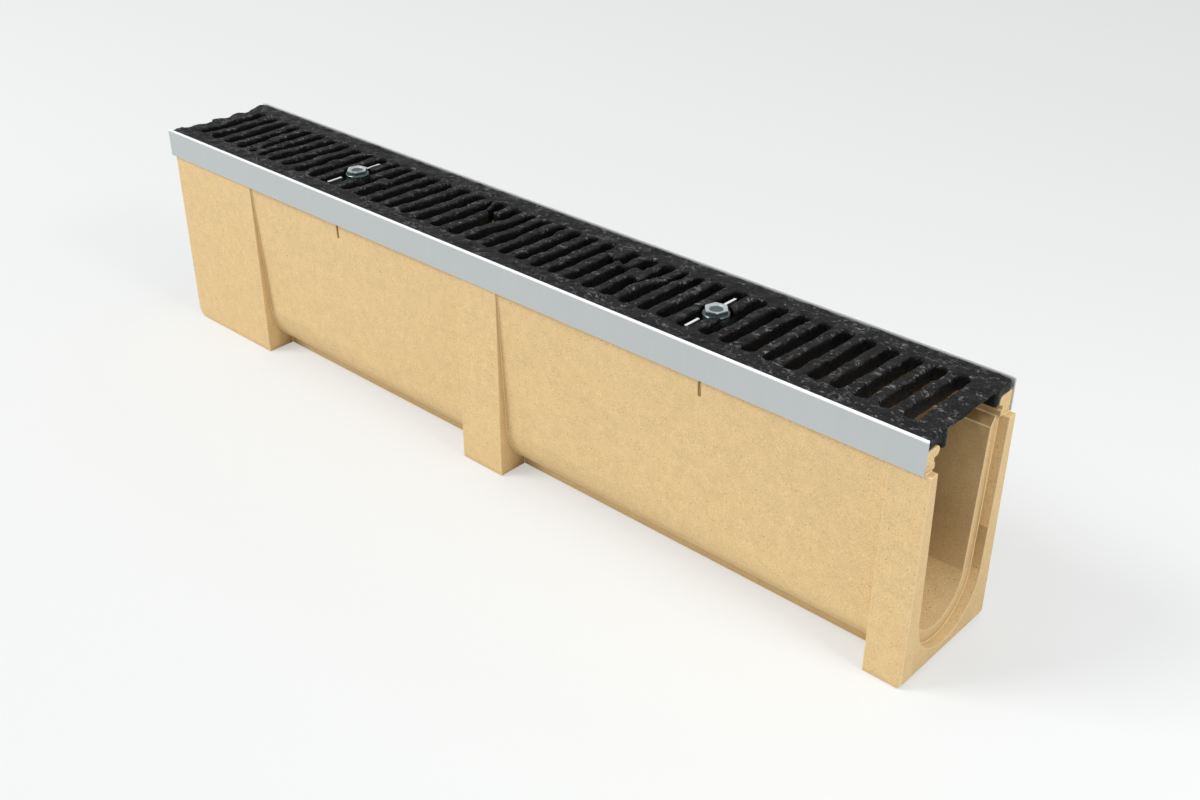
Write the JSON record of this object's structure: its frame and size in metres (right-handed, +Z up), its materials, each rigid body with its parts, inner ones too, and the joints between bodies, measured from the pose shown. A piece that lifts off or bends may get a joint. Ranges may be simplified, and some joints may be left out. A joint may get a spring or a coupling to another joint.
{
  "type": "channel drain",
  "caption": "Straight line-drain element: ribbed moulded channel with steel edge rails and a bolted slotted iron grating on top.",
  "frame": {"origin": "middle of the channel's length and width, on its flat underside", "axes": "+X along the channel towards the socket end, +Y across it, +Z up"},
  "size_m": [1.0085, 0.133, 0.2366],
  "materials": {
    "concrete": "matte",
    "rail_steel": "satin",
    "grating_iron": "matte",
    "zinc_steel": "satin"
  },
  "bodies": {
    "root": {"channel_body": "concrete", "rail_front": "rail_steel", "rail_back": "rail_steel", "grating": "grating_iron", "locking_bridge_left": "zinc_steel", "bolt_left": "zinc_steel", "washer_left": "zinc_steel", "nut_left": "zinc_steel", "locking_bridge_right": "zinc_steel", "bolt_right": "zinc_steel", "washer_right": "zinc_steel", "nut_right": "zinc_steel"}
  },
  "joints": []
}
